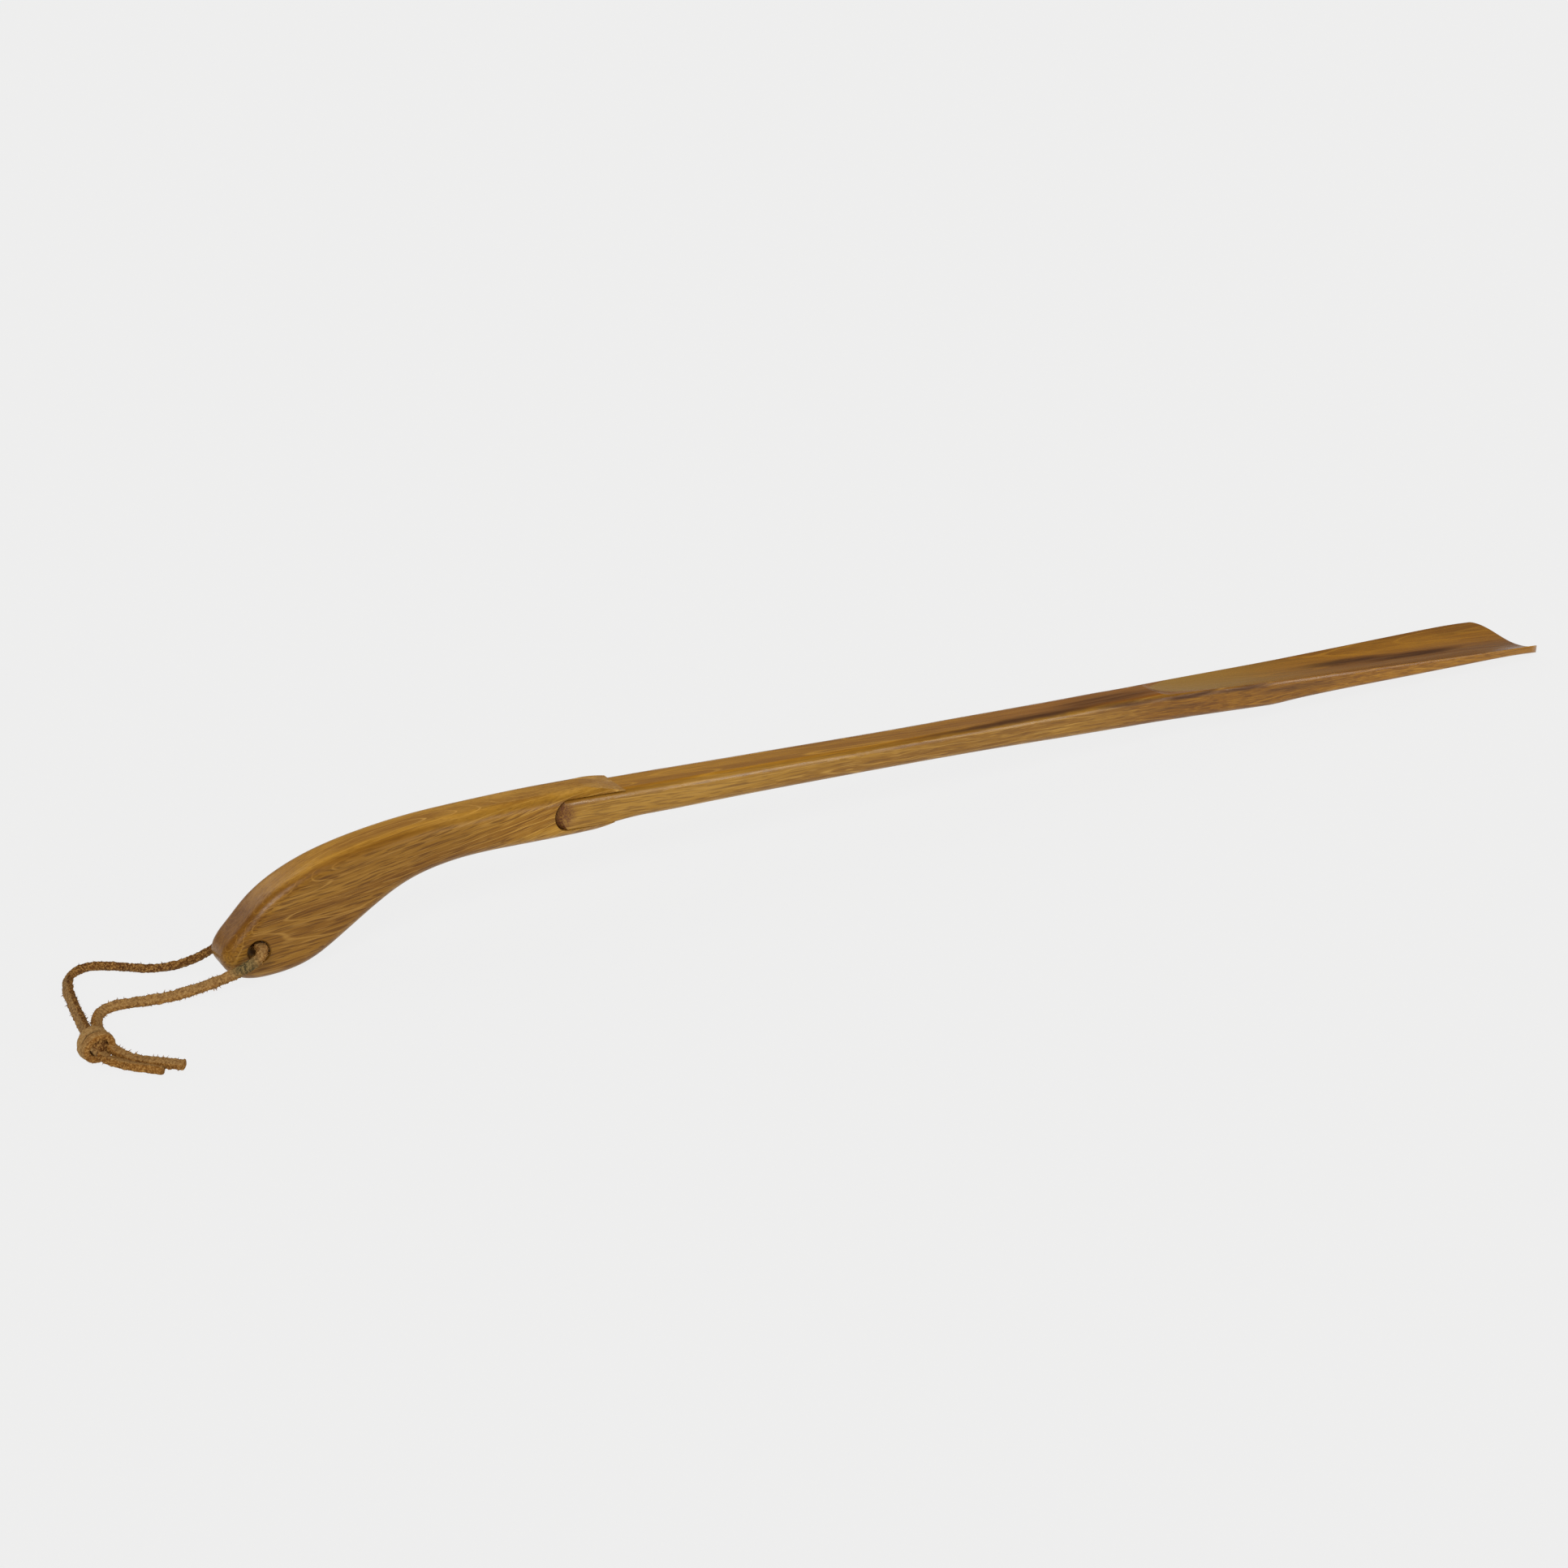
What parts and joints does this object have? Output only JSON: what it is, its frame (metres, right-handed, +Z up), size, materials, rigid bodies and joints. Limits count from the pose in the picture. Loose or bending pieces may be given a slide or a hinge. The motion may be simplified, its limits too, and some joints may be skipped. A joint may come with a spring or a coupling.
{
  "type": "long shoehorn",
  "caption": "Long wooden shoehorn with a curved board handle, a slender shaft let into it, a troughed blade and a leather hanging lace.",
  "frame": {"origin": "centre of the footprint of the wooden parts, on the surface that the handle and the blade's tip rest on", "axes": "+X along the length from the handle's butt to the blade's tip, +Y across, +Z up, the way the blade's trough opens"},
  "size_m": [0.7143, 0.0867, 0.0437],
  "materials": {
    "handle_wood": "oiled oak, satin, rounded and sanded",
    "shaft_wood": "oiled oak with dark figure, satin",
    "lace_leather": "raw suede, square cut, matt and fuzzy"
  },
  "bodies": {
    "shoehorn": {"handle": "handle_wood", "shaft_blade": "shaft_wood"},
    "lace": {"lace_loop": "lace_leather", "lace_knot": "lace_leather", "lace_tail_long": "lace_leather", "lace_tail_short": "lace_leather"}
  },
  "joints": [
    {"name": "lace_swing", "type": "hinge", "parent": "shoehorn", "child": "lace", "pos_m": [-0.3163, 0, 0.0117], "axis": [0, 1, 0], "range_deg": [0, 105]}
  ]
}
